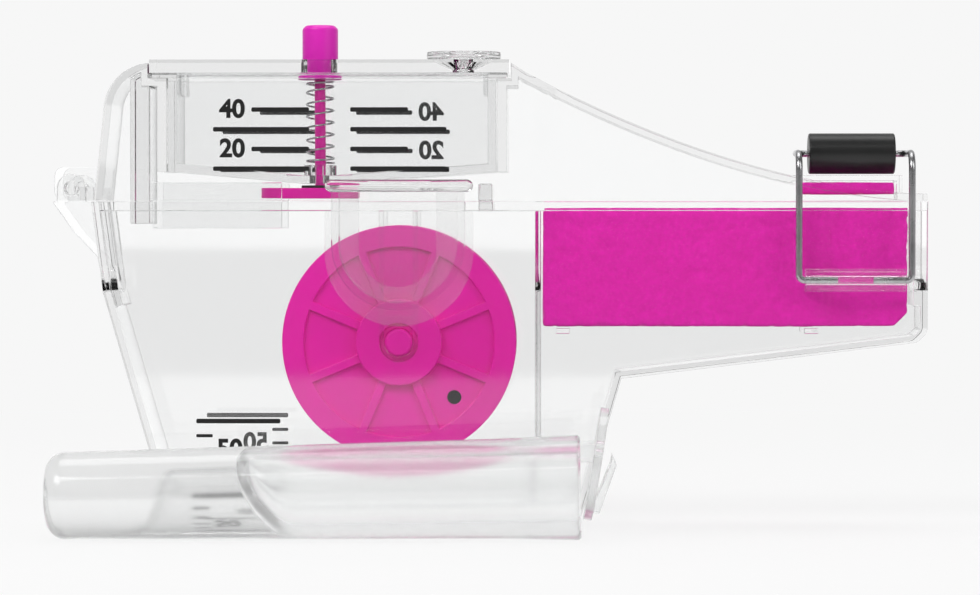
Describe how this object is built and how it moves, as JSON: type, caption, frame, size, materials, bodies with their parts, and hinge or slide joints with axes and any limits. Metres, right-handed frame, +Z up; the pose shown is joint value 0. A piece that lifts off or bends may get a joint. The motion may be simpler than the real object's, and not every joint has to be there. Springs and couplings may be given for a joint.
{
  "type": "bicycle chain cleaning tool",
  "caption": "Clear two-part bath for scrubbing a bicycle chain, with a brush wheel, sponge, push-button reservoir, wire latch and loose handle.",
  "frame": {"origin": "on the underside of the tub, at the middle of the machine's length and depth", "axes": "+X along the chain towards the outlet and the latch, +Y away from the handle socket, +Z up"},
  "size_m": [0.1916, 0.069, 0.1103],
  "materials": {
    "clear_plastic": "clear and polished",
    "pink_plastic": "smooth moulded",
    "pink_sponge": "open-cell foam",
    "clear_rubber": "translucent silicone",
    "black_rubber": "matt",
    "black_plastic": "satin",
    "steel_wire": "bright drawn wire",
    "black_nylon": "stiff nylon bristle"
  },
  "bodies": {
    "base": {"tub_shell": "clear_plastic", "tub_partition": "clear_plastic", "axle_rails": "clear_plastic", "axle_keepers": "clear_plastic", "handle_socket": "clear_plastic", "latch_barrel": "clear_plastic", "hinge_cheeks": "clear_plastic", "sponge_ledges": "clear_plastic", "lower_sponge": "pink_sponge"},
    "cover": {"cover_shell": "clear_plastic", "chain_guides": "clear_plastic", "locating_skirts": "clear_plastic", "hinge_ears": "clear_plastic", "hinge_pins": "clear_plastic", "reservoir_tank": "clear_plastic", "tank_gasket": "clear_rubber", "tank_lid": "clear_plastic", "upper_sponge": "pink_sponge", "plunger_spring": "steel_wire"},
    "plunger": {"button_cap": "pink_plastic", "plunger_rod": "pink_plastic", "valve_washer": "black_rubber", "valve_plate": "pink_plastic"},
    "filler_plug": {"filler_cap": "clear_plastic", "filler_seal": "clear_rubber"},
    "brush_wheel": {"wheel_disc_front": "pink_plastic", "wheel_disc_rear": "pink_plastic", "wheel_core": "pink_plastic", "wheel_axle": "pink_plastic", "brush_bristles": "black_nylon"},
    "bail": {"bail_wire": "steel_wire"},
    "latch_roller": {"bail_roller": "black_plastic"},
    "handle": {"handle_grip": "clear_plastic", "handle_tongue": "clear_plastic", "handle_clip": "clear_plastic"}
  },
  "joints": [
    {"name": "cover_hinge", "type": "hinge", "parent": "base", "child": "cover", "pos_m": [-0.0916, 0, 0.0742], "axis": [0, -1, 0], "range_deg": [0, 100]},
    {"name": "button_press", "type": "slide", "parent": "cover", "child": "plunger", "axis": [0, 0, -1], "range_m": [0, 0.005], "stiffness_N_per_m": 240, "springref_m": -0.002, "deforming": ["plunger_spring"]},
    {"name": "filler_lift", "type": "slide", "parent": "cover", "child": "filler_plug", "axis": [0, 0, 1], "range_m": [0, 0.014]},
    {"name": "brush_spin", "type": "hinge", "parent": "base", "child": "brush_wheel", "pos_m": [-0.0198, 0, 0.0404], "axis": [0, 1, 0], "continuous": true},
    {"name": "bail_swing", "type": "hinge", "parent": "base", "child": "bail", "pos_m": [0.0799, -0.0124, 0.0541], "axis": [1, 0, 0], "range_deg": [0, 150]},
    {"name": "roller_spin", "type": "hinge", "parent": "bail", "child": "latch_roller", "pos_m": [0.0799, 0, 0.0819], "axis": [1, 0, 0], "continuous": true},
    {"name": "handle_slide", "type": "slide", "parent": "base", "child": "handle", "axis": [0, -1, 0], "range_m": [0, 0.06]}
  ]
}
